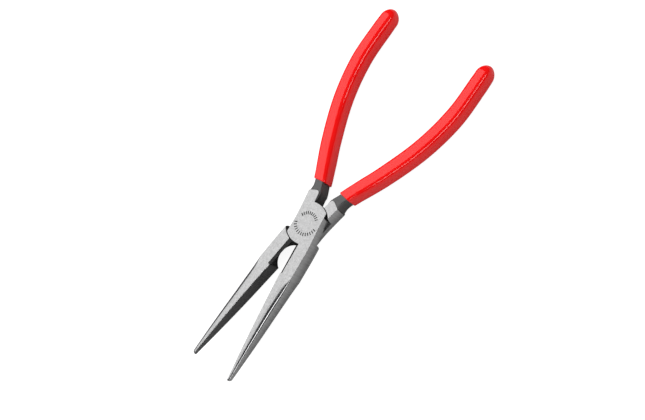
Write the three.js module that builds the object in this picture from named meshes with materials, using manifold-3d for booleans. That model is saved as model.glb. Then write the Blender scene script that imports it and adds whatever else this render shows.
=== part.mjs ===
// Long-nose side-cutting pliers with a lap joint, lying flat and a little open.
// Millimetres. The pivot axis is Z, the tips point along -Y and the handles along +Y. The joint rests on Z = 0.
//
// Both halves are drawn closed, about the pivot, with Z = 0 on the lap plane between them. Each is the same
// forging: a thin plate over the lap, a jaw to the right of it and a handle to the left. The rear half is the
// front half turned over. Only the cutters differ, because both are ground from the underside.

import * as THREE from 'three';
import { mergeVertices } from 'three/addons/utils/BufferGeometryUtils.js';
import { ParametricGeometry } from 'three/addons/geometries/ParametricGeometry.js';
import Module from 'manifold-3d';

const wasm = await Module();
wasm.setup();

// Pose
const HALF_OPENING = THREE.MathUtils.degToRad(8); // each half is turned this far from closed

// Joint
const JOINT_THICKNESS = 9.5;
const HALF_THICKNESS = JOINT_THICKNESS / 2;
const DISC_RADIUS = 11; // round end of the plate that laps over the other half
const SHOULDER_RADIUS = 11.3; // hollow in the other half that the disc turns in
const LAP_GAP = 0.1;
const SIDE_BULGE = 0.8; // how far the sides swell between the two faces
const SIDE_STOPS = [[-28, 6.95], [-10, 7.5], [2, 7.05], [18, 7.8]]; // y, half width at the faces

// Rivet, with both ends swaged into a countersink and ground flush
const RIVET_RADIUS = 3.6;
const RIVET_HEAD_RADIUS = 4.4;
const RIVET_HEAD_DEPTH = 1.2;
const RIVET_CLEARANCE = 0.06;
const RIVET_SEGMENTS = 40;

// Jaws
const FACE_X = 0.05; // gripping face, half of the gap left when the jaws are closed
const NOSE_START = -27.5;
const NOSE_END = -86;
const JAW_OVERLAP = 0.5; // the jaw's base runs this far into the nose
const NOSE_WIDTH = [7.8, 1.5]; // at the start and at the tip
const NOSE_HALF_THICKNESS = [HALF_THICKNESS, 1.25];
const NOSE_BOW = 0.4; // at mid length the faces swell by this, and the outer side draws in by it
const NOSE_SQUARENESS = [9, 2.3]; // exponent of the superellipse section
const TIP_ROUNDING = 1.3; // length of the rounded tip
const TIP_TURN = 0.45 * Math.PI; // the tip's profile turns this far, and a small flat is left at its end

// Side cutter: a straight edge near the front face, hollow ground towards the underside
const CUTTER_EDGE_DROP = 0.5; // from the front face down to the edge
const CUTTER_BEVEL = 0.5; // how far the bevel above the edge runs into the front face
const HOLLOW_CENTRE = { x: -2.9, y: -19.4 }; // arc that the hollow leaves on the underside
const HOLLOW_RADIUS = 8;
// Half the cutter's length.
const HOLLOW_REACH = Math.sqrt(HOLLOW_RADIUS ** 2 - (FACE_X - HOLLOW_CENTRE.x) ** 2);

// Handle root, where the ground plate ends
const ROOT_OUTER = [-8.6, 14.5];
const ROOT_CREST = [-5.5, 16.4]; // pulls the curve across the root outward
const ROOT_TOP = [-2.7, 17.1];
const ROOT_CORNER = [-1.9, 17];
const ROOT_INNER = [-1.9, 14.4];
const NOTCH_X = -1.6; // where the root's inner edge meets the disc

// Handle: centre line of the arm, and the neck and tang sizes along it
const HANDLE_LINE = [
  [-4.4, 11.6], [-4.5, 17.5], [-5.8, 22.5], [-12.6, 42],
  [-18.3, 65], [-19.8, 86], [-17.7, 104], [-15.6, 116],
];
const ARM_END = 0.93; // share of the centre line that the steel fills
const ARM_WIDTH = [[0, 7], [0.035, 6.8], [0.07, 5.2], [0.1, 5], [0.2, 4.8], [1, 3.4]];
const ARM_THICKNESS = [[0, 8.7], [0.1, 8.3], [0.2, 6.6], [1, 5]];
const ARM_SQUARENESS = 6;

// Dipped grip
const GRIP_START = 0.096; // share of the centre line
const GRIP_MOUTH = 0.08; // share over which the sections turn from the mouth's dip line to the centre line
const GRIP_WIDTH = [[GRIP_START, 6.9], [0.35, 7.4], [0.7, 7.5], [0.9, 6.6], [1, 4.6]];
const GRIP_THICKNESS = [[GRIP_START, 9.2], [0.2, JOINT_THICKNESS], [0.8, JOINT_THICKNESS], [1, 7.6]];
const GRIP_SQUARENESS = 5;
const GRIP_END_ROUNDING = 0.06; // share of the centre line
const GRIP_END_FLAT = 0.95; // the end's quarter turn stops here, and a small flat closes it
const TANG_GAP = 0.15;

const { lerp, clamp } = THREE.MathUtils;

// ---------------------------------------------------------------- solids

/** A closed geometry as a manifold solid, with shared vertices merged and its faces turned outward. */
function solid(geometry) {
  const bare = geometry.clone();
  bare.deleteAttribute('normal');
  bare.deleteAttribute('uv');
  const merged = mergeVertices(bare, 1e-4);
  const vertProperties = merged.attributes.position.array;
  const triangles = [];
  let volume = 0;
  const corner = [new THREE.Vector3(), new THREE.Vector3(), new THREE.Vector3()];
  for (let i = 0; i < merged.index.count; i += 3) {
    const [a, b, c] = [0, 1, 2].map((k) => merged.index.getX(i + k));
    if (a === b || b === c || c === a) continue;
    [a, b, c].forEach((index, k) => corner[k].fromArray(vertProperties, 3 * index));
    volume += corner[0].dot(corner[1].clone().cross(corner[2]));
    triangles.push(a, b, c);
  }
  if (volume < 0) triangles.reverse();
  const triVerts = new Uint32Array(triangles);
  return new wasm.Manifold(new wasm.Mesh({ numProp: 3, vertProperties, triVerts }));
}

/** A solid moved by a matrix. */
function moved(body, matrix) {
  return body.transform(matrix.elements);
}

/** A solid as a geometry that a mesh can show. */
function geometryOf(body) {
  const { vertProperties, triVerts } = body.getMesh();
  const geometry = new THREE.BufferGeometry();
  geometry.setAttribute('position', new THREE.BufferAttribute(vertProperties, 3));
  geometry.setIndex(new THREE.BufferAttribute(triVerts, 1));
  geometry.computeVertexNormals();
  return geometry;
}

/** An outline in X and Y, extruded from one height to another. */
function slab(shape, low, high, curveSegments = 32) {
  const depth = high - low;
  const geometry = new THREE.ExtrudeGeometry(shape, { depth, bevelEnabled: false, curveSegments });
  return solid(geometry.translate(0, 0, low));
}

/** A round bar on the pivot axis. */
function bar(radius, low, high, segments) {
  const geometry = new THREE.CylinderGeometry(radius, radius, high - low, segments).rotateX(Math.PI / 2);
  return solid(geometry.translate(0, 0, (low + high) / 2));
}

/** A skin through closed sections. pointAt(along, around) gives a point, and both run from 0 to 1. */
function loft(pointAt, stations, around) {
  const rows = stations + 2; // one more row at each end closes the cap on the section's middle
  const middle = (along) => pointAt(along, 0).add(pointAt(along, 0.5)).multiplyScalar(0.5);
  const skin = (u, v, target) => {
    const row = Math.round(v * rows) - 1;
    const along = clamp(row / stations, 0, 1);
    const capped = row < 0 || row > stations;
    target.copy(capped ? middle(along) : pointAt(along, u % 1));
  };
  return solid(new ParametricGeometry(skin, around, rows));
}

/** A point on a superellipse of unit size. */
function superellipse(angle, exponent) {
  const [c, s] = [Math.cos(angle), Math.sin(angle)];
  const power = 2 / exponent;
  return [Math.sign(c) * Math.abs(c) ** power, Math.sign(s) * Math.abs(s) ** power];
}

/** The value at a place, read along straight lines between stops of [place, value]. */
function through(stops, place) {
  const next = Math.max(1, stops.findIndex(([at]) => at >= place));
  const [[fromPlace, from], [toPlace, to]] = [stops[next - 1], stops[next]];
  return lerp(from, to, clamp((place - fromPlace) / (toPlace - fromPlace), 0, 1));
}

// ---------------------------------------------------------------- steel half

/** The head's side surfaces: flat faces and swelling sides, narrowest beside the pivot. */
function headEnvelope() {
  const line = new THREE.SplineCurve(SIDE_STOPS.map(([y, width]) => new THREE.Vector2(y, width)));
  const down = 8; // steps down each side
  return loft((along, around) => {
    const { x: y, y: width } = line.getPoint(along);
    const step = Math.round(around * 2 * (down + 1));
    const onRight = step <= down;
    const height = (onRight ? step : 2 * down + 1 - step) / down;
    const z = lerp(-HALF_THICKNESS, HALF_THICKNESS, height);
    const reach = width + SIDE_BULGE * (1 - (z / HALF_THICKNESS) ** 2);
    return new THREE.Vector3(onRight ? reach : -reach, y, z);
  }, 14, 2 * (down + 1));
}

/** Plan of the plate, the jaw's base and the handle's root. Its sides lie outside the envelope. */
function headPlan() {
  const side = SIDE_STOPS[0][1] + 3; // beyond the envelope
  const jawEnd = NOSE_START - JAW_OVERLAP;
  const corner = Math.acos(side / DISC_RADIUS);
  const notch = Math.acos(NOTCH_X / DISC_RADIUS);
  const foot = -Math.acos(FACE_X / DISC_RADIUS);
  const plan = new THREE.Shape();
  plan.moveTo(FACE_X, jawEnd);
  plan.lineTo(side, jawEnd);
  plan.absarc(0, 0, DISC_RADIUS, corner, notch, false);
  plan.lineTo(...ROOT_INNER);
  plan.quadraticCurveTo(...ROOT_CORNER, ...ROOT_TOP);
  plan.quadraticCurveTo(...ROOT_CREST, ...ROOT_OUTER);
  plan.absarc(0, 0, DISC_RADIUS, Math.PI + corner, 2 * Math.PI + foot, false);
  return plan;
}

/** The tapered half-round nose, flat on its gripping face. */
function nose() {
  const length = NOSE_START - NOSE_END;
  const straight = 16; // stations down the taper
  const rounding = 4; // stations around the tip
  const flat = 4; // steps across the gripping face
  const round = 18; // steps around the outside
  return loft((along, around) => {
    const station = along * (straight + rounding);
    const turn = clamp((station - straight) / rounding, 0, 1) * TIP_TURN;
    const beforeTip = Math.min(station / straight, 1);
    const distance = beforeTip * (length - TIP_ROUNDING) + TIP_ROUNDING * Math.sin(turn);
    const taper = distance / length;
    const bow = NOSE_BOW * 4 * taper * (1 - taper);
    const width = (lerp(...NOSE_WIDTH, taper) - bow) * Math.cos(turn);
    const height = (lerp(...NOSE_HALF_THICKNESS, taper) + bow) * Math.cos(turn);
    const y = NOSE_START - distance;
    const step = Math.round(around * (flat + round));
    if (step < flat) return new THREE.Vector3(FACE_X, y, lerp(-height, height, step / flat));
    const angle = Math.PI / 2 - ((step - flat) / round) * Math.PI;
    const [x, z] = superellipse(angle, lerp(...NOSE_SQUARENESS, Math.sqrt(taper)));
    return new THREE.Vector3(FACE_X + x * width, y, z * height);
  }, straight + rounding, flat + round);
}

const handleLine = new THREE.CatmullRomCurve3(
  HANDLE_LINE.map(([x, y]) => new THREE.Vector3(x, y, 0)), false, 'centripetal',
);

/**
 * A bar with a rounded section. Its sections stand on the handle line at these shares of its length.
 * slantAt says how far a section leans from square to the line (0) to square to the pliers (1).
 */
function handleBar(shares, widthAt, thicknessAt, squareness, around, slantAt = () => 0) {
  const stations = shares.length - 1;
  return loft((along, turn) => {
    const share = shares[Math.round(along * stations)];
    const forward = handleLine.getTangentAt(share);
    const sideways = new THREE.Vector3(forward.y, -forward.x, 0);
    const [x, z] = superellipse(turn * 2 * Math.PI, squareness);
    const reach = (x * widthAt(share)) / 2;
    const lean = (-reach * slantAt(share) * sideways.y) / forward.y;
    const point = handleLine.getPointAt(share).addScaledVector(sideways, reach).addScaledVector(forward, lean);
    return point.setZ(z * thicknessAt(share) / 2);
  }, stations, around);
}

/** Evenly spaced shares of the centre line. */
function evenShares(from, to, count) {
  return Array.from({ length: count + 1 }, (_, k) => lerp(from, to, k / count));
}

/** The steel arm: the neck outside the grip and the tang inside it, grown by a gap for the grip's hollow. */
function arm(gap = 0) {
  const end = ARM_END + gap / handleLine.getLength();
  const shares = [...evenShares(0, GRIP_START, 6), ...evenShares(GRIP_START, end, 20).slice(1)];
  const widthAt = (share) => through(ARM_WIDTH, share) + 2 * gap;
  const thicknessAt = (share) => through(ARM_THICKNESS, share) + 2 * gap;
  return handleBar(shares, widthAt, thicknessAt, ARM_SQUARENESS, 16);
}

/** The dipped grip, a closed sleeve around the tang with a bullet end and a mouth along the dip line. */
function grip() {
  const roundFrom = 1 - GRIP_END_ROUNDING;
  const turns = evenShares(0, (GRIP_END_FLAT * Math.PI) / 2, 5).slice(1);
  const endShares = turns.map((turn) => roundFrom + GRIP_END_ROUNDING * Math.sin(turn));
  const shares = [...evenShares(GRIP_START, roundFrom, 22), ...endShares];
  const fullness = (share) => Math.sqrt(1 - Math.max(0, (share - roundFrom) / GRIP_END_ROUNDING) ** 2);
  const widthAt = (share) => through(GRIP_WIDTH, share) * fullness(share);
  const thicknessAt = (share) => through(GRIP_THICKNESS, share) * fullness(share);
  const slantAt = (share) => Math.max(0, 1 - (share - GRIP_START) / GRIP_MOUTH);
  const skin = handleBar(shares, widthAt, thicknessAt, GRIP_SQUARENESS, 24, slantAt);
  return skin.subtract(arm(TANG_GAP));
}

/** The room that the hollow ground cutter leaves, on the jaw that lies at positive X. */
function cutterHollow() {
  const edgeZ = HALF_THICKNESS - CUTTER_EDGE_DROP;
  const slope = 6; // steps down the ground surface
  const outside = -3; // clear of the steel
  const below = -HALF_THICKNESS - 0.2; // just past the underside
  return loft((along, around) => {
    const turn = Math.PI * along;
    const y = HOLLOW_CENTRE.y + HOLLOW_REACH * Math.cos(turn);
    const reach = HOLLOW_CENTRE.x + Math.hypot(HOLLOW_REACH * Math.sin(turn), FACE_X - HOLLOW_CENTRE.x);
    const step = Math.round(around * (slope + 3));
    if (step > slope) return new THREE.Vector3(outside, y, step === slope + 1 ? below : edgeZ);
    const down = step / slope;
    const x = lerp(FACE_X, reach, Math.sin((down * Math.PI) / 2));
    return new THREE.Vector3(x, y, lerp(edgeZ, below, down));
  }, 16, slope + 3);
}

/** The bevel above the cutting edge. */
function cutterBevel() {
  const edgeZ = HALF_THICKNESS - CUTTER_EDGE_DROP;
  const section = new THREE.Shape();
  section.moveTo(FACE_X, edgeZ);
  section.lineTo(FACE_X + 2 * CUTTER_BEVEL, edgeZ + 2 * CUTTER_EDGE_DROP);
  section.lineTo(-1, edgeZ + 2 * CUTTER_EDGE_DROP);
  section.lineTo(-1, edgeZ);
  const length = 2 * HOLLOW_REACH + 1; // runs up to the disc
  const geometry = new THREE.ExtrudeGeometry(section, { depth: length, bevelEnabled: false });
  return solid(geometry.rotateX(Math.PI / 2).translate(0, HOLLOW_CENTRE.y + HOLLOW_REACH + 1, 0));
}

/** The rivet turned about the pivot axis. A bore takes it with a clearance, run past both faces. */
function rivet(clearance = 0, overrun = 0) {
  const shank = RIVET_RADIUS + clearance;
  const head = RIVET_HEAD_RADIUS + clearance;
  const headStart = HALF_THICKNESS - RIVET_HEAD_DEPTH;
  const end = HALF_THICKNESS + overrun;
  const upper = [[shank, headStart], [head, HALF_THICKNESS], [head, end], [0, end]];
  const lower = upper.map(([radius, z]) => [radius, -z]).reverse();
  const profile = [...lower, ...upper].map(([radius, z]) => new THREE.Vector2(radius, z));
  return solid(new THREE.LatheGeometry(profile, RIVET_SEGMENTS).rotateX(Math.PI / 2));
}

/** The forging both halves start from: plate above the lap, full thickness outside the other half's disc. */
function forging() {
  const head = slab(headPlan(), -HALF_THICKNESS, HALF_THICKNESS).intersect(headEnvelope());
  const room = bar(SHOULDER_RADIUS, -HALF_THICKNESS - 1, LAP_GAP / 2, 96);
  return head.add(nose()).add(arm()).subtract(room);
}

const turnedOver = new THREE.Matrix4().makeRotationY(Math.PI);
const mirrored = new THREE.Matrix4().makeScale(-1, 1, 1);
const cutter = cutterHollow().add(cutterBevel());
const bore = rivet(RIVET_CLEARANCE, 1);
const frontSteel = forging().subtract(cutter).subtract(bore);
const rearSteel = moved(forging(), turnedOver).subtract(moved(cutter, mirrored)).subtract(bore);

// ---------------------------------------------------------------- assembly

const groundSteel = { color: 0xc4c5c6, roughness: 0.34, metalness: 1 };
const redVinyl = { color: 0xd3261f, roughness: 0.28, metalness: 0 };

function mesh(name, body, look) {
  const part = new THREE.Mesh(geometryOf(body), new THREE.MeshStandardMaterial(look));
  part.name = name;
  return part;
}

const frontHalf = new THREE.Group();
frontHalf.rotation.z = HALF_OPENING;
frontHalf.add(mesh('front_half', frontSteel, groundSteel));
frontHalf.add(mesh('front_grip', grip(), redVinyl));

const rearHalf = new THREE.Group();
rearHalf.rotation.z = -HALF_OPENING;
rearHalf.add(mesh('rear_half', rearSteel, groundSteel));
rearHalf.add(mesh('rear_grip', moved(grip(), turnedOver), redVinyl));

const pliers = new THREE.Group();
pliers.position.z = HALF_THICKNESS;
pliers.add(frontHalf, rearHalf, mesh('rivet', rivet(), groundSteel));

export default pliers;
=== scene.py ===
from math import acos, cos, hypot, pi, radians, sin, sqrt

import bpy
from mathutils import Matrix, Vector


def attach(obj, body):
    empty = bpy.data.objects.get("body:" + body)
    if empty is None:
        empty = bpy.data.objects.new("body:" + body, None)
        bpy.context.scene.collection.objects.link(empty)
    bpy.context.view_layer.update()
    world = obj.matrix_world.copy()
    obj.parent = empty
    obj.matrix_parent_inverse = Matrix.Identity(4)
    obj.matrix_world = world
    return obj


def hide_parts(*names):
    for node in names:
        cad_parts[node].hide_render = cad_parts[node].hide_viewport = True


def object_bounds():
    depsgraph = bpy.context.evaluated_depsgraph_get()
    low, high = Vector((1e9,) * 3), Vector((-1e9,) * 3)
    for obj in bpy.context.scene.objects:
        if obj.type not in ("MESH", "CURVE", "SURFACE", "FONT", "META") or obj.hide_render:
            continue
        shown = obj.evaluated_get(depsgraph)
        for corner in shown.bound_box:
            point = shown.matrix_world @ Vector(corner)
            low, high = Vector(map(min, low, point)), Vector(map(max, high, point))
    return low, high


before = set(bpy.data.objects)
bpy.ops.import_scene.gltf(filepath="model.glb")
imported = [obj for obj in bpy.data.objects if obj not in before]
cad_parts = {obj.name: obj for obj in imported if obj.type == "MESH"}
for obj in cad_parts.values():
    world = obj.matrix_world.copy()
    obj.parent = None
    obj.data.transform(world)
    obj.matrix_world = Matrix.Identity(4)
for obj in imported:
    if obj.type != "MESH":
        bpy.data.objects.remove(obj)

# Long-nose side-cutting pliers, lying flat and a little open.
#
# Each steel half is shaped closed, in millimetres, about the pivot, with Z = 0 on the lap between the halves:
# its plate lies above the lap, its jaw to the right and its handle to the left. At the end a half is opened,
# and the rear one is first turned over. Blender works in metres, so sizes pass through mm().

cad_low, cad_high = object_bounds()

# Joint
HALF_OPENING = radians(8)
HALF_THICKNESS = (cad_high.z - cad_low.z) * 1000 / 2
DISC_RADIUS = 11
SHOULDER_RADIUS = 11.3
LAP_GAP = 0.1
SIDE_BULGE = 0.8
SIDE_STOPS = ((-28, 7.05), (-10, 7.7), (2, 7.2), (18, 7.9))  # y, half width at the faces
RIM = 0.14            # broken edge around the ground faces
SKIN_PROUD = 0.02     # the skin stands this far above the plate, so that the flat faces are the plate's
HEAD_CLEAR = 9.95     # the plate's outline runs this far out, clear of the skin
ROOM_RIM = 0.15       # broken edge around the room that the other half's disc turns in
ROOM_OVERRUN = 0.85   # the room's flare runs this far past the face

# Rivet
RIVET_RADIUS = 3.6
RIVET_HEAD_RADIUS = 4.4
RIVET_HEAD_DEPTH = 1.2
BORE_CLEARANCE = 0.02
BORE_OVERRUN = 1

# Strokes around the pivot
STROKE_SIZE = (1.7, 0.5, 0.16)                       # length, width and depth
STROKE_ARCS = ((5.2, 39, 12, 10), (6.0, 196, 12.3, 13))  # radius, first angle, step and count, in degrees

# Jaws
FACE_X = 0.05         # gripping face, half of the gap left when the jaws are closed
NOSE_START = -27.5
NOSE_END = -86
TIP_WIDTH = 1.5
TIP_HALF_THICKNESS = 1.25
TIP_ROUNDING = 1.3
TIP_BULGE = 0.1       # what is left of the sides' bulge at the tip
FLAT_SHARE = 0.4      # share of the width that the flat of each face reaches
CROWN_SLOPE = ((0, 0), (0.03, 0.12), (0.1, 0.25), (1, 0.3))  # taper, slope at the crown's outer end
CORNERS = (((0, RIM), (0.03, 0.5), (0.12, 0.9), (0.35, 1.2), (1, 0.45)),   # taper, width
           ((0, RIM), (0.03, 0.5), (0.12, 1.1), (0.35, 1.5), (1, 0.4)))    # taper, height
NOSE_BOW = 0.8        # swell of the nose's faces at mid length
EDGE_CHAMFER = 0.28   # between a nose's face and its gripping face
TOOTH_PITCH = 0.9
TOOTH_DEPTH = 0.18
TOOTH_COUNT = 60
TOOTHLESS_TIP = 1.5   # length at the tip without teeth

# Side cutter
CUTTER_BEVEL = ((1.1, 0.9), (1.6, 1.3))   # width and depth of the bevel at its low and high ends
HOLLOW_X, HOLLOW_Y = -2.9, -19.4
HOLLOW_RADIUS = 8
HOLLOW_REACH = sqrt(HOLLOW_RADIUS ** 2 - (FACE_X - HOLLOW_X) ** 2)
HOLLOW_SHORTENING = -0.6  # below zero, the cutting edge runs on past the hollow's end on the underside
HOLLOW_OVERRUN = 0.2  # the hollow's tool runs this far past the underside
BEVEL_RUN_UP = 1      # the bevel runs this far past the hollow, up to the disc

# Handle. A share is a part of the handle line's length, counted from the joint.
NOTCH_X = -1.6        # where the root's inner edge meets the disc
ROOT_INNER, ROOT_TOP, ROOT_OUTER = (-1.9, 15.0), (-3.5, 16.8), (-9.2, 14.5)
ROOT_PULLS = (-1.9, 16.9), (-6, 16.4)  # draw the curves up to the root's top and away from it
HANDLE_LINE = ((-4.4, 11.6), (-4.5, 17.5), (-5.8, 22.5), (-12.6, 42), (-18.3, 65), (-19.8, 86),
               (-17.7, 104), (-15.6, 116))
ARM_END = 0.93        # share that the steel fills
NECK_FLARE = 0.3      # how far the neck's outer side spreads at the root
NECK_FLARE_END = 0.09
ARM_WIDTH = ((0, 6), (0.04, 6.6), (0.07, 5.2), (0.1, 5), (0.2, 4.8), (1, 3.4))
ARM_THICKNESS = ((0, 8.7), (0.1, 8.3), (0.2, 6.6), (1, 5))
ARM_SQUARENESS = 9
GRIP_START = 0.096
GRIP_MOUTH = 0.08     # share over which sections turn from the mouth's dip line to the handle line
MOUTH_TOLERANCE = 0.001
GRIP_WIDTH = ((GRIP_START, 6.9), (0.35, 7.4), (0.7, 7.34), (0.8, 7), (0.95, 6.9), (0.998, 6))
GRIP_THICKNESS = ((GRIP_START, 9.2), (0.2, 9.5), (0.9, 9.5), (0.998, 8.8))
GRIP_SQUARENESS = ((GRIP_START, 4.5), (0.15, 3.4), (0.3, 3.1), (1, 2.6))
GRIP_SWELL = ((GRIP_START, 0), (0.2, 0.5), (0.9, 0.8), (0.998, 0.6))   # more width on the inner side
GRIP_BOXINESS = 2.2   # how much squarer two opposite corners are than the others
GRIP_END = 0.999
GRIP_END_ROUNDING = 0.05
LIP = 0.35            # rounding of the mouth's lip
LIP_SHARE = 0.004     # share that the lip takes up
TANG_GAP = 0.1        # width left over around the tang
TANG_END_GAP = 0.004  # share left past the tang's end
CAP_ROWS = 16         # sections of the rounded end
CAP_OFFSET = 0.4      # part of a row that keeps the first section from shrinking to a point
BODY_ROWS = 71        # sections from there to the mouth
LIP_ROWS = 4
INSIDE_ROWS = 30
OUTER_ROWS = CAP_ROWS + BODY_ROWS

# Sections and steps of the steel's skin
STATION_RUNS = ((18, 1.5, 29), (-25, 0.5, 13), (-32, 2.4, 22))  # first y, step down and count
TIP_STATIONS = 10
CORNER_STEPS = 8
SIDE_STEPS = 6
CROWN_STEPS = 8

# Camera
CAMERA_PLACE = (375.4, 9.7, 639.8)
CAMERA_TARGET = (0.4, 9.6, HALF_THICKNESS)
CAMERA_ROLL = radians(-54.95)
CAMERA_LENS = 83.75


# ---------------------------------------------------------------- camera, floor and light

def mm(x, y, z=0.0):
    """A place or size given in millimetres, in metres."""
    return Vector((x, y, z)) / 1000


def add_camera():
    data = bpy.data.cameras.new("camera")
    data.lens = CAMERA_LENS
    data.sensor_width = 36
    data.clip_start = 0.01
    camera = bpy.data.objects.new("camera", data)
    bpy.context.collection.objects.link(camera)
    place = mm(*CAMERA_PLACE)
    look = mm(*CAMERA_TARGET) - place
    level = look.to_track_quat("-Z", "Y").to_matrix().to_4x4()
    camera.matrix_world = Matrix.Translation(place) @ level @ Matrix.Rotation(CAMERA_ROLL, 4, "Z")
    bpy.context.scene.camera = camera


def add_panel(name, rise, distance, width, length, glow, lights_matt=True):
    """A soft panel along the pliers, rise degrees up from +X. A glow of 1 is as bright as white."""
    data = bpy.data.lights.new(name, "AREA")
    data.shape = "RECTANGLE"
    data.size, data.size_y = width, length
    data.energy = glow * pi * width * length
    lamp = bpy.data.objects.new(name, data)
    bpy.context.collection.objects.link(lamp)
    turn = Matrix.Rotation(radians(90 - rise), 4, "Y")
    lamp.matrix_world = turn @ Matrix.Translation((0, 0, distance))
    lamp.visible_diffuse = lights_matt


def add_world():
    """A white room for the eye and for matt surfaces, and a dark one for reflections."""
    world = bpy.data.worlds.new("studio")
    bpy.context.scene.world = world
    world.use_nodes = True
    nodes, links = world.node_tree.nodes, world.node_tree.links
    room = nodes["Background"]
    room.inputs["Strength"].default_value = 0.8
    dark = nodes.new("ShaderNodeBackground")
    dark.inputs["Color"].default_value = (0.05, 0.05, 0.055, 1)
    ray = nodes.new("ShaderNodeLightPath")
    mix = nodes.new("ShaderNodeMixShader")
    room.inputs["Color"].default_value = (1, 1, 1, 1)
    links.new(ray.outputs["Is Glossy Ray"], mix.inputs["Fac"])
    links.new(room.outputs["Background"], mix.inputs[1])
    links.new(dark.outputs["Background"], mix.inputs[2])
    links.new(mix.outputs["Shader"], nodes["World Output"].inputs["Surface"])


def add_floor(paint):
    just_below = cad_low.z - 0.0002
    bpy.ops.mesh.primitive_plane_add(size=6, location=(0, 0, just_below))
    floor = bpy.context.object
    floor.name = "floor"
    floor.data.materials.append(paint)


# ---------------------------------------------------------------- materials

def grey(level):
    return (level, level, level)


def new_material(name, colour, metallic, roughness):
    material = bpy.data.materials.new(name)
    material.use_nodes = True
    shader = material.node_tree.nodes["Principled BSDF"]
    shader.inputs["Base Color"].default_value = (*colour, 1)
    shader.inputs["Metallic"].default_value = metallic
    shader.inputs["Roughness"].default_value = roughness
    return material, material.node_tree.nodes, material.node_tree.links, shader


def noise(nodes, links, scale, detail=3, stretch=(1, 1, 1)):
    """Noise on object coordinates, in features per metre."""
    place = nodes.new("ShaderNodeTexCoord")
    mapping = nodes.new("ShaderNodeMapping")
    mapping.inputs["Scale"].default_value = stretch
    texture = nodes.new("ShaderNodeTexNoise")
    texture.inputs["Scale"].default_value = scale
    texture.inputs["Detail"].default_value = detail
    links.new(place.outputs["Object"], mapping.inputs["Vector"])
    links.new(mapping.outputs["Vector"], texture.inputs["Vector"])
    return texture.outputs["Fac"]


def spread(nodes, links, value, low, high):
    """A noise value spread over a range of numbers."""
    reach = nodes.new("ShaderNodeMapRange")
    reach.inputs["From Min"].default_value = 0.3
    reach.inputs["From Max"].default_value = 0.7
    reach.inputs["To Min"].default_value = low
    reach.inputs["To Max"].default_value = high
    links.new(value, reach.inputs["Value"])
    return reach.outputs["Result"]


def tint(nodes, links, value, dark, light):
    """A noise value turned into a colour between two."""
    ramp = nodes.new("ShaderNodeValToRGB")
    ramp.color_ramp.elements[0].position = 0.3
    ramp.color_ramp.elements[0].color = (*dark, 1)
    ramp.color_ramp.elements[1].position = 0.7
    ramp.color_ramp.elements[1].color = (*light, 1)
    links.new(value, ramp.inputs["Fac"])
    return ramp.outputs["Color"]


def bump(nodes, links, shader, height, distance, strength):
    """Fine relief on a shader, distance metres high."""
    relief = nodes.new("ShaderNodeBump")
    relief.inputs["Distance"].default_value = distance
    relief.inputs["Strength"].default_value = strength
    links.new(height, relief.inputs["Height"])
    links.new(relief.outputs["Normal"], shader.inputs["Normal"])


def ground_steel():
    """Flat faces off the grinder: pale, with a fine grain along the pliers."""
    material, nodes, links, shader = new_material("ground_steel", grey(0.5), metallic=1.0, roughness=0.34)
    grain = noise(nodes, links, scale=1600, detail=5, stretch=(1, 0.35, 1))
    cloud = noise(nodes, links, scale=1500)
    links.new(tint(nodes, links, cloud, grey(0.41), grey(0.53)), shader.inputs["Base Color"])
    links.new(spread(nodes, links, grain, 0.28, 0.42), shader.inputs["Roughness"])
    bump(nodes, links, shader, grain, distance=0.00003, strength=0.4)
    return material


def polished_steel_and_painted_shade():
    """Belt polished sides and jaws, darker than the ground faces. The polish is real; the darker base colour
    is partly painted shade on the sides.
    """
    material, nodes, links, shader = new_material("polished_steel_and_painted_shade", grey(0.45), metallic=1.0, roughness=0.22)
    grain = noise(nodes, links, scale=2600, detail=4)
    lines = noise(nodes, links, scale=1800, stretch=(0.08, 1, 0.05))
    # painted shade: this tint keeps the sides' base colour a little darker than the ground faces', so the
    # sides look shaded
    links.new(tint(nodes, links, lines, grey(0.38), grey(0.5)), shader.inputs["Base Color"])
    links.new(spread(nodes, links, grain, 0.13, 0.22), shader.inputs["Roughness"])
    bump(nodes, links, shader, lines, distance=0.000004, strength=0.3)
    return material


def black_oxide(name, shine):
    """The dark scale left on forged and hollow ground places, more or less shiny."""
    material, nodes, links, shader = new_material(name, grey(0.03), metallic=0.0, roughness=0.4)
    shader.inputs["IOR"].default_value = 1.8
    shader.inputs["Specular IOR Level"].default_value = shine
    scale = noise(nodes, links, scale=1800, detail=5)
    cloud = noise(nodes, links, scale=500)
    links.new(tint(nodes, links, cloud, grey(0.008), grey(0.016)), shader.inputs["Base Color"])
    links.new(spread(nodes, links, scale, 0.34, 0.5), shader.inputs["Roughness"])
    bump(nodes, links, shader, scale, distance=0.00004, strength=0.5)
    return material


def red_vinyl():
    """Glossy vinyl, as it comes out of the dip."""
    pigment = (0.8, 0.005, 0.004)
    material, nodes, links, shader = new_material("red_vinyl", pigment, metallic=0.0, roughness=0.1)
    shader.inputs["IOR"].default_value = 1.45
    shader.inputs["Specular IOR Level"].default_value = 0.65
    skin = noise(nodes, links, scale=450)
    cloud = noise(nodes, links, scale=60, detail=2)
    red = tint(nodes, links, cloud, (0.88, 0.003, 0.003), (0.94, 0.006, 0.005))
    links.new(red, shader.inputs["Base Color"])
    links.new(spread(nodes, links, skin, 0.04, 0.09), shader.inputs["Roughness"])
    bump(nodes, links, shader, skin, distance=0.00002, strength=0.3)
    return material


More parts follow.
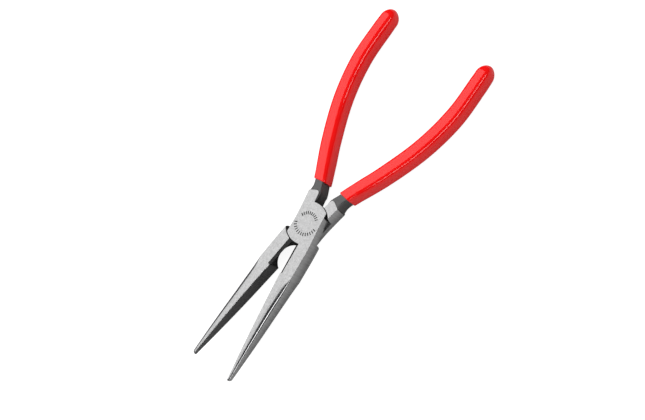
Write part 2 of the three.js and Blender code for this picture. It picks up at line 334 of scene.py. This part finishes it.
def floor_paint():
    """A white floor for the eye, and a grey table for reflections."""
    material, nodes, links, shader = new_material("floor_paint", grey(0.3), metallic=0.0, roughness=0.9)
    shader.inputs["Specular IOR Level"].default_value = 0
    shader.inputs["Emission Color"].default_value = (1, 1, 1, 1)
    shader.inputs["Emission Strength"].default_value = 0.9
    cloud = noise(nodes, links, scale=3, detail=2)
    links.new(tint(nodes, links, cloud, grey(0.29), grey(0.31)), shader.inputs["Base Color"])
    table = nodes.new("ShaderNodeBsdfDiffuse")
    table.inputs["Color"].default_value = (0.48, 0.48, 0.48, 1)
    ray = nodes.new("ShaderNodeLightPath")
    mix = nodes.new("ShaderNodeMixShader")
    links.new(ray.outputs["Is Camera Ray"], mix.inputs["Fac"])
    links.new(table.outputs["BSDF"], mix.inputs[1])
    links.new(shader.outputs["BSDF"], mix.inputs[2])
    links.new(mix.outputs["Shader"], nodes["Material Output"].inputs["Surface"])
    return material


# ---------------------------------------------------------------- shaping

def pick(obj):
    """Only obj selected and active."""
    bpy.ops.object.select_all(action="DESELECT")
    obj.select_set(True)
    bpy.context.view_layer.objects.active = obj


def finish_edit():
    """Turns all faces outward and leaves edit mode."""
    bpy.ops.mesh.select_all(action="SELECT")
    bpy.ops.mesh.normals_make_consistent(inside=False)
    bpy.ops.object.mode_set(mode="OBJECT")


def rolled_skin(name, stations, around, point_at, paint):
    """A closed skin: a grid rolled up so that its rows become sections, with both ends filled."""
    bpy.ops.object.select_all(action="DESELECT")
    bpy.ops.mesh.primitive_grid_add(x_subdivisions=around, y_subdivisions=stations - 1, size=1)
    skin = bpy.context.object
    skin.name = name
    for index, vertex in enumerate(skin.data.vertices):
        row, step = divmod(index, around + 1)
        vertex.co = point_at(row, step % around) / 1000
    bpy.ops.object.mode_set(mode="EDIT")
    bpy.ops.mesh.select_all(action="SELECT")
    bpy.ops.mesh.remove_doubles(threshold=1e-7)
    bpy.ops.mesh.fill_holes(sides=0)
    finish_edit()
    skin.data.materials.append(paint)
    return skin


def cut_plate(name, outline, low, high, paint):
    """A plate cut to an outline."""
    bpy.ops.object.select_all(action="DESELECT")
    bpy.ops.mesh.primitive_circle_add(vertices=len(outline), radius=1, fill_type="NGON")
    plate = bpy.context.object
    plate.name = name
    for vertex, (x, y) in zip(plate.data.vertices, outline):
        vertex.co = mm(x, y, low)
    bpy.ops.object.mode_set(mode="EDIT")
    bpy.ops.mesh.select_all(action="SELECT")
    bpy.ops.mesh.extrude_region_move(TRANSFORM_OT_translate={"value": mm(0, 0, high - low)})
    finish_edit()
    plate.data.materials.append(paint)
    return plate


def break_rims(plate, low, high, size):
    """Bevels the edges around a plate's top and bottom."""
    pick(plate)
    bpy.ops.object.mode_set(mode="EDIT")
    bpy.ops.mesh.select_all(action="DESELECT")
    bpy.ops.mesh.select_mode(type="EDGE")
    bpy.ops.object.mode_set(mode="OBJECT")
    mesh = plate.data
    for edge in mesh.edges:
        heights = [mesh.vertices[v].co.z * 1000 for v in edge.vertices]
        edge.select = any(all(abs(z - face) < 1e-3 for z in heights) for face in (low, high))
    bpy.ops.object.mode_set(mode="EDIT")
    bpy.ops.mesh.bevel(offset=size / 1000, segments=2, affect="EDGES")
    finish_edit()


def turned(name, profile, paint, steps=128):
    """A solid spun about the pivot axis from a profile of (radius, height)."""
    def point_at(row, step):
        radius, height = profile[row]
        angle = 2 * pi * step / steps
        return Vector((radius * cos(angle), radius * sin(angle), height))
    return rolled_skin(name, len(profile), steps, point_at, paint)


def boolean(body, tool, operation):
    """Joins, cuts or trims body by tool, and uses the tool up. Cut faces keep the tool's finish."""
    pick(body)
    modifier = body.modifiers.new("boolean", "BOOLEAN")
    modifier.operation = operation
    modifier.solver = "EXACT"
    modifier.material_mode = "TRANSFER"
    modifier.object = tool
    bpy.ops.object.modifier_apply(modifier=modifier.name)
    bpy.data.objects.remove(tool, do_unlink=True)


def mirror_z(obj):
    """Turns a tool upside down, and keeps its faces outward."""
    pick(obj)
    bpy.ops.object.mode_set(mode="EDIT")
    bpy.ops.mesh.select_all(action="SELECT")
    bpy.ops.transform.resize(value=(1, 1, -1), center_override=(0, 0, 0))
    finish_edit()
    return obj


def smooth(obj, angle=30):
    """Smooth shading that leaves wide flat faces flat."""
    pick(obj)
    bpy.ops.object.shade_smooth_by_angle(angle=radians(angle))
    modifier = obj.modifiers.new("weighted", "WEIGHTED_NORMAL")
    modifier.keep_sharp = True
    modifier.weight = 90
    bpy.ops.object.modifier_apply(modifier=modifier.name)


def settle(obj, half):
    """Puts a closed front or rear piece in its place, with that place in its mesh."""
    turn = Matrix.Rotation(HALF_OPENING, 4, "Z")
    if half == "rear":
        turn = Matrix.Rotation(-HALF_OPENING, 4, "Z") @ Matrix.Rotation(pi, 4, "Y")
    obj.matrix_world = Matrix.Translation(mm(0, 0, HALF_THICKNESS)) @ turn
    pick(obj)
    bpy.ops.object.transform_apply(location=True, rotation=True, scale=True)


def between(start, end, share):
    return start + (end - start) * share


def through(stops, place):
    """The value at a place, read along straight lines between stops of (place, value)."""
    for (start, low), (end, high) in zip(stops, stops[1:]):
        if place <= end:
            break
    return between(low, high, min(max((place - start) / (end - start), 0), 1))


def spline_through(points, steps):
    """Points on a smooth curve through all the given ones, evenly stepped between each pair."""
    ends = [2 * points[0] - points[1], *points, 2 * points[-1] - points[-2]]
    line = []
    for before, start, end, after in zip(ends, ends[1:], ends[2:], ends[3:]):
        first, middle, last = [max((b - a).length, 1e-9) ** 0.5
                               for a, b in ((before, start), (start, end), (end, after))]
        leave = (start - before) / first - (end - before) / (first + middle) + (end - start) / middle
        arrive = (end - start) / middle - (after - start) / (middle + last) + (after - end) / last
        leave, arrive = leave * middle, arrive * middle
        for k in range(steps):
            t = k / steps
            line.append(start * (2 * t ** 3 - 3 * t ** 2 + 1) + leave * (t ** 3 - 2 * t ** 2 + t)
                        + end * (3 * t ** 2 - 2 * t ** 3) + arrive * (t ** 3 - t ** 2))
    return [*line, points[-1]]


class Route:
    """A smooth curve that gives a point and a direction at a share of its length."""

    def __init__(self, points):
        self.line = spline_through([Vector((x, y, 0)) for x, y in points], 40)
        self.lengths = [0.0]
        for a, b in zip(self.line, self.line[1:]):
            self.lengths.append(self.lengths[-1] + (b - a).length)

    def at(self, share):
        reach = share * self.lengths[-1]
        k = 1
        while k < len(self.lengths) - 1 and self.lengths[k] < reach:
            k += 1
        start, end = self.line[k - 1], self.line[k]
        part = (reach - self.lengths[k - 1]) / (self.lengths[k] - self.lengths[k - 1])
        return start.lerp(end, part)

    def forward(self, share):
        reach = 0.004
        return (self.at(min(share + reach, 1)) - self.at(max(share - reach, 0))).normalized()


def superellipse(angle, squareness):
    """A point on a rounded square of unit size. A squareness of 2 gives a circle."""
    power = 2 / squareness
    x, z = cos(angle), sin(angle)
    return (abs(x) ** power * (1 if x > 0 else -1), abs(z) ** power * (1 if z > 0 else -1))


def arc(radius, start, end, steps):
    angles = [between(start, end, k / steps) for k in range(steps + 1)]
    return [(radius * cos(angle), radius * sin(angle)) for angle in angles]


def bow_between(start, pull, end, steps):
    """A curve from start to end, drawn towards pull."""
    points = []
    for k in range(1, steps + 1):
        t = k / steps
        points.append(tuple(a * (1 - t) ** 2 + 2 * b * t * (1 - t) + c * t ** 2
                            for a, b, c in zip(start, pull, end)))
    return points


# ---------------------------------------------------------------- steel halves

def head_outline():
    """Plan of the plate, the jaw and the handle's root. Its far sides lie outside the steel's skin."""
    corner = acos(HEAD_CLEAR / DISC_RADIUS)
    notch = acos(NOTCH_X / DISC_RADIUS)
    foot = -acos(FACE_X / DISC_RADIUS)
    past_tip = NOSE_END - 4
    disc_steps, root_steps = 60, 8
    return [(FACE_X, past_tip), (HEAD_CLEAR, past_tip),
            *arc(DISC_RADIUS, corner, notch, disc_steps), ROOT_INNER,
            *bow_between(ROOT_INNER, ROOT_PULLS[0], ROOT_TOP, root_steps),
            *bow_between(ROOT_TOP, ROOT_PULLS[1], ROOT_OUTER, root_steps),
            *arc(DISC_RADIUS, pi + corner, 2 * pi + foot, disc_steps)]


def skin_stations():
    """Where along Y the sections stand, close together at the bend and around the tip."""
    runs = [start - step * k for start, step, count in STATION_RUNS for k in range(count)]
    tip = [NOSE_END + TIP_ROUNDING * (1 - sin(turn * pi / (2 * TIP_STATIONS)))
           for turn in range(TIP_STATIONS)]
    return [*runs, *tip]


HEAD_LINE = spline_through([Vector((y, width, 0)) for y, width in SIDE_STOPS], 60)


def head_half_width(y):
    """Half the head's width at the faces."""
    for a, b in zip(HEAD_LINE, HEAD_LINE[1:]):
        if y <= b.x:
            break
    return between(a.y, b.y, min(max((y - a.x) / (b.x - a.x), 0), 1))


def skin_section(y):
    """Half thickness, half width at the faces, bulge, crown's slope, and the corner's width and height."""
    if y > NOSE_START:
        return HALF_THICKNESS + SKIN_PROUD, head_half_width(y), SIDE_BULGE, 0, RIM, RIM
    taper = (NOSE_START - y) / (NOSE_START - NOSE_END)
    bow = NOSE_BOW * 4 * taper * (1 - taper)
    half = between(HALF_THICKNESS + SKIN_PROUD, TIP_HALF_THICKNESS, taper) + bow
    reach = between(head_half_width(NOSE_START) + SIDE_BULGE, TIP_WIDTH, taper)
    bulge = between(SIDE_BULGE, TIP_BULGE, taper)
    return half, reach - bulge, bulge, through(CROWN_SLOPE, taper), *[through(c, taper) for c in CORNERS]


def quarter_section(y):
    """Points from the middle of the side up over the corner and the crown to where the face is flat."""
    half, width, bulge, slope, across, down = skin_section(y)

    def side_x(z):
        return width + bulge * (1 - (z / half) ** 2)

    flat_to = FLAT_SHARE * width
    drop = slope / 2 * (width - across - flat_to)
    crest = half - drop
    shoulder = crest - slope * across
    down = min(down, shoulder / 2)
    low = shoulder - down
    corner_to = side_x(shoulder) - across
    side = [(side_x(low * k / SIDE_STEPS), low * k / SIDE_STEPS) for k in range(SIDE_STEPS + 1)]
    corner = bow_between(side[-1], (side_x(shoulder), shoulder), (corner_to, crest), CORNER_STEPS)
    crown = []
    for k in range(1, CROWN_STEPS + 1):
        part = 1 - k / CROWN_STEPS
        crown.append((between(flat_to, corner_to, part), half - drop * part ** 2))
    return [*side, *corner, *crown]


def steel_skin(polished, ground):
    """The outer skin of a half: flat faces, swelling sides, and the tapered nose with its growing round."""
    stations = skin_stations()
    sections = [quarter_section(y) for y in stations]
    quarter = len(sections[0])
    per_side = 2 * quarter - 1
    left_at_least = 3     # keeps the skin's left side clear of the gripping face

    def point_at(row, step):
        y = stations[row]
        shrink = 1.0
        if y < NOSE_END + TIP_ROUNDING:
            shrink = sqrt(max(0, 1 - (1 - (y - NOSE_END) / TIP_ROUNDING) ** 2))
        on_right = step < per_side
        climb = (step if on_right else 2 * per_side - 1 - step) - quarter + 1
        x, z = sections[row][abs(climb)]
        z = z if climb > 0 else -z
        return Vector((FACE_X + (x - FACE_X) * shrink if on_right else -max(x, left_at_least), y, z * shrink))

    skin = rolled_skin("steel_skin", len(stations), 2 * per_side, point_at, polished)
    skin.data.materials.append(ground)
    wide = CROWN_STEPS // 2   # columns of the crown that are ground
    for face in skin.data.polygons[:(len(stations) - 1) * 2 * per_side]:
        column = face.index % per_side
        if column < wide or column >= per_side - 1 - wide:
            face.material_index = 1
    return skin


HANDLE = Route(HANDLE_LINE)


def bar_point(share, width, thickness, squareness, turn, inner_swell=0.0, boxiness=0.0):
    """A point of a rounded section on the handle line. It leans towards the dip line near the mouth."""
    forward = HANDLE.forward(share)
    sideways = Vector((forward.y, -forward.x, 0))
    x, z = superellipse(turn, squareness + (boxiness if sin(2 * turn) < 0 else 0))
    reach = x * width / 2 + max(0, x) * inner_swell
    if share < NECK_FLARE_END:
        reach -= NECK_FLARE * max(0, -x) * (1 - share / NECK_FLARE_END)
    in_grip = share > GRIP_START - MOUTH_TOLERANCE
    slant = min(max(1 - (share - GRIP_START) / GRIP_MOUTH, 0), 1) if in_grip else 0
    lean = -reach * slant * sideways.y / forward.y
    return HANDLE.at(share) + sideways * reach + forward * lean + Vector((0, 0, z * thickness / 2))


def steel_arm(paint):
    """The neck outside the grip and the tang inside it."""
    stations, around = 72, 40

    def point_at(row, step):
        share = between(0, ARM_END, row / (stations - 1))
        width, thickness = through(ARM_WIDTH, share), through(ARM_THICKNESS, share)
        return bar_point(share, width, thickness, ARM_SQUARENESS, 2 * pi * step / around)

    return rolled_skin("steel_arm", stations, around, point_at, paint)


CUTTER_ENDS = HOLLOW_Y - HOLLOW_REACH + HOLLOW_SHORTENING, HOLLOW_Y + HOLLOW_REACH + BEVEL_RUN_UP


def bevel_at(y):
    """Width and depth of the bevel above the cutting edge."""
    share = (y - CUTTER_ENDS[0]) / (CUTTER_ENDS[1] - CUTTER_ENDS[0])
    return [between(low, high, share) for low, high in zip(*CUTTER_BEVEL)]


def cutter_hollow(paint):
    """What the grinding wheel takes out behind the cutting edge."""
    stations, slope, outside = 41, 12, -3
    below = -HALF_THICKNESS - HOLLOW_OVERRUN

    def point_at(row, step):
        turn = pi * row / (stations - 1)
        reach = HOLLOW_X + hypot(HOLLOW_REACH * sin(turn), FACE_X - HOLLOW_X)
        down = min(step / slope, 1) if step < slope + 2 else 0
        short = HOLLOW_SHORTENING * (1 - down) * max(0, -cos(turn))
        y = HOLLOW_Y + HOLLOW_REACH * cos(turn) + short
        edge = HALF_THICKNESS - bevel_at(y)[1]
        if step > slope:
            return Vector((outside, y, below if step == slope + 1 else edge))
        return Vector((between(FACE_X, reach, sin(down * pi / 2)), y, between(edge, below, down)))

    return rolled_skin("cutter_hollow", stations, slope + 3, point_at, paint)


def cutter_bevel(paint):
    """The bevel above the cutting edge, run up to the disc."""
    outside = -1

    def point_at(row, step):
        y = CUTTER_ENDS[row]
        width, depth = bevel_at(y)
        section = ((FACE_X, HALF_THICKNESS - depth), (FACE_X + 2 * width, HALF_THICKNESS + depth),
                   (outside, HALF_THICKNESS + depth), (outside, HALF_THICKNESS - depth))
        x, z = section[step]
        return Vector((x, y, z))

    return rolled_skin("cutter_bevel", 2, 4, point_at, paint)


def edge_chamfer(paint):
    """What breaks the long edge between a nose's face and its gripping face."""
    ends = NOSE_START + 0.5, NOSE_END
    stations, size, clear = 30, EDGE_CHAMFER, 0.8

    def point_at(row, step):
        y = between(*ends, row / (stations - 1))
        half = skin_section(min(y, NOSE_START))[0]
        section = ((FACE_X, half - size), (FACE_X + size, half), (FACE_X + size, half + clear),
                   (FACE_X - clear, half + clear), (FACE_X - clear, half - size))
        x, z = section[step]
        return Vector((x, y, z))

    return rolled_skin("edge_chamfer", stations, 5, point_at, paint)


def grip_teeth(paint):
    """A comb that cuts fine cross teeth in the gripping face."""
    start = NOSE_END + TOOTHLESS_TIP
    end = start + TOOTH_COUNT * TOOTH_PITCH
    back, crest, root, beyond = -1, FACE_X - 0.02, FACE_X + TOOTH_DEPTH, 6
    comb = [(back, start)]
    for k in range(TOOTH_COUNT):
        comb += [(crest, start + k * TOOTH_PITCH), (root, start + (k + 0.5) * TOOTH_PITCH)]
    comb += [(crest, end), (back, end)]
    return cut_plate("grip_teeth", comb, -beyond, beyond, paint)


def pivot_strokes(paint):
    """Short strokes struck around the pivot in two arcs, as plain as a dial's."""
    strokes = None
    length, width, depth = STROKE_SIZE
    places = [(radius, first + step * k) for radius, first, step, count in STROKE_ARCS for k in range(count)]
    for radius, angle in places:
        bpy.ops.object.select_all(action="DESELECT")
        bpy.ops.mesh.primitive_cube_add(size=1, location=(0, 0, 0))
        stroke = bpy.context.object
        stroke.scale = mm(length, width, 2 * depth)
        stroke.location = mm(radius, 0, HALF_THICKNESS)
        bpy.ops.object.transform_apply(location=True, rotation=False, scale=True)
        stroke.rotation_euler.z = radians(angle)
        bpy.ops.object.transform_apply(location=False, rotation=True, scale=False)
        if strokes is None:
            strokes = stroke
            continue
        strokes.select_set(True)
        bpy.context.view_layer.objects.active = strokes
        bpy.ops.object.join()
    strokes.data.materials.clear()
    strokes.data.materials.append(paint)
    return strokes


def rivet_profile(clearance=0.0, overrun=0.0):
    """(radius, height) of the rivet, or of its bore, whose countersinks run straight on past both faces."""
    shank, head = RIVET_RADIUS + clearance, RIVET_HEAD_RADIUS + clearance
    top = HALF_THICKNESS
    flare = (head - shank) / RIVET_HEAD_DEPTH
    upper = [(shank, top - RIVET_HEAD_DEPTH), (head + flare * overrun, top + overrun)]
    return [(radius, -height) for radius, height in reversed(upper)] + upper


def disc_room(paint):
    """The room that the other half's disc turns in, flared at the face."""
    face = -HALF_THICKNESS
    profile = [(SHOULDER_RADIUS + (ROOM_RIM + ROOM_OVERRUN), face - ROOM_OVERRUN),
               (SHOULDER_RADIUS, face + ROOM_RIM), (SHOULDER_RADIUS, LAP_GAP / 2)]
    return turned("disc_room", profile, paint)


def steel_half(name, half, ground, polished, oxide, cutter_black):
    """One forging, from the plate to the tang. The order of the cuts keeps each one clean."""
    body = cut_plate(name, head_outline(), -HALF_THICKNESS, HALF_THICKNESS, oxide)
    break_rims(body, -HALF_THICKNESS, HALF_THICKNESS, RIM)
    body.data.materials.append(ground)
    level = 0.3           # a face whose normal rises more than this is ground
    for face in body.data.polygons:
        face.material_index = 1 if abs(face.normal.z) > level else 0
    boolean(body, steel_skin(polished, ground), "INTERSECT")
    boolean(body, edge_chamfer(ground), "DIFFERENCE")
    boolean(body, mirror_z(edge_chamfer(ground)), "DIFFERENCE")
    boolean(body, grip_teeth(oxide), "DIFFERENCE")
    boolean(body, steel_arm(oxide), "UNION")
    boolean(body, disc_room(oxide), "DIFFERENCE")
    hollow, bevel = cutter_hollow(cutter_black), cutter_bevel(cutter_black)
    if half == "rear":
        mirror_z(hollow)
        mirror_z(bevel)
    boolean(body, hollow, "DIFFERENCE")
    boolean(body, bevel, "DIFFERENCE")
    boolean(body, turned("bore", rivet_profile(BORE_CLEARANCE, BORE_OVERRUN), oxide), "DIFFERENCE")
    if half == "front":
        boolean(body, pivot_strokes(cutter_black), "DIFFERENCE")
    smooth(body)
    settle(body, half)
    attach(body, half)
    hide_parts(half + "_half")


def joint_rivet(ground):
    """The rivet, which is fixed in the rear half."""
    rivet = turned("joint_rivet", rivet_profile(), ground)
    smooth(rivet)
    rivet.matrix_world = Matrix.Translation(mm(0, 0, HALF_THICKNESS))
    pick(rivet)
    bpy.ops.object.transform_apply(location=True, rotation=True, scale=True)
    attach(rivet, "rear")
    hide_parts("rivet")


# ---------------------------------------------------------------- grips

def grip_section(share, inset=0.0):
    """(share, width, thickness, squareness) of the grip's outside."""
    return (share, through(GRIP_WIDTH, share) - inset, through(GRIP_THICKNESS, share) - inset,
            through(GRIP_SQUARENESS, share))


def grip_sections():
    """Sections from the bullet end back to the mouth, and down the inside."""
    round_from = GRIP_END - GRIP_END_ROUNDING
    sections = []
    for k in range(CAP_ROWS):
        out = cos(pi / 2 * (k + CAP_OFFSET) / CAP_ROWS)
        share, width, thickness, squareness = grip_section(round_from + GRIP_END_ROUNDING * out)
        full = sqrt(1 - out ** 2)
        sections.append((share, width * full, thickness * full, between(2, squareness, full)))
    for k in range(BODY_ROWS):
        sections.append(grip_section(between(round_from, GRIP_START + LIP_SHARE, k / (BODY_ROWS - 1))))
    for k in range(1, LIP_ROWS + 1):
        turn = k / LIP_ROWS * pi / 2
        share = GRIP_START + LIP_SHARE * (1 - sin(turn))
        sections.append((share, *grip_section(GRIP_START, 2 * LIP * (1 - cos(turn)))[1:]))
    for k in range(INSIDE_ROWS):
        share = between(GRIP_START, ARM_END + TANG_END_GAP, k / (INSIDE_ROWS - 1))
        width, thickness = through(ARM_WIDTH, share) + TANG_GAP, through(ARM_THICKNESS, share) + TANG_GAP
        sections.append((share, width, thickness, ARM_SQUARENESS))
    return sections


def dipped_grip(name, half, vinyl):
    """A grip: a closed sleeve whose outside turns in at the mouth and runs down around the tang."""
    sections, around = grip_sections(), 96

    def point_at(row, step):
        share, width = sections[row][:2]
        swell = through(GRIP_SWELL, share) * width / through(GRIP_WIDTH, share) if row < OUTER_ROWS else 0
        return bar_point(*sections[row], 2 * pi * step / around, swell, GRIP_BOXINESS)

    grip = rolled_skin(name, len(sections), around, point_at, vinyl)
    smooth(grip, 40)
    settle(grip, half)
    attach(grip, half)
    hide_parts(half + "_grip")


# ---------------------------------------------------------------- the pliers

add_camera()
add_world()
add_floor(floor_paint())
add_panel("key_panel", rise=122, distance=1.0, width=0.8, length=1.4, glow=1.5)
add_panel("strip_panel", rise=42, distance=1.0, width=0.25, length=1.2, glow=4.2, lights_matt=False)
bpy.context.scene.view_settings.view_transform = "Standard"

ground, polished = ground_steel(), polished_steel_and_painted_shade()
oxide, cutter_black = black_oxide("black_oxide", shine=0.72), black_oxide("cutter_black", shine=0.12)
vinyl = red_vinyl()
steel_half("front_steel", "front", ground, polished, oxide, cutter_black)
steel_half("rear_steel", "rear", ground, polished, oxide, cutter_black)
joint_rivet(ground)
dipped_grip("front_dipped_grip", "front", vinyl)
dipped_grip("rear_dipped_grip", "rear", vinyl)
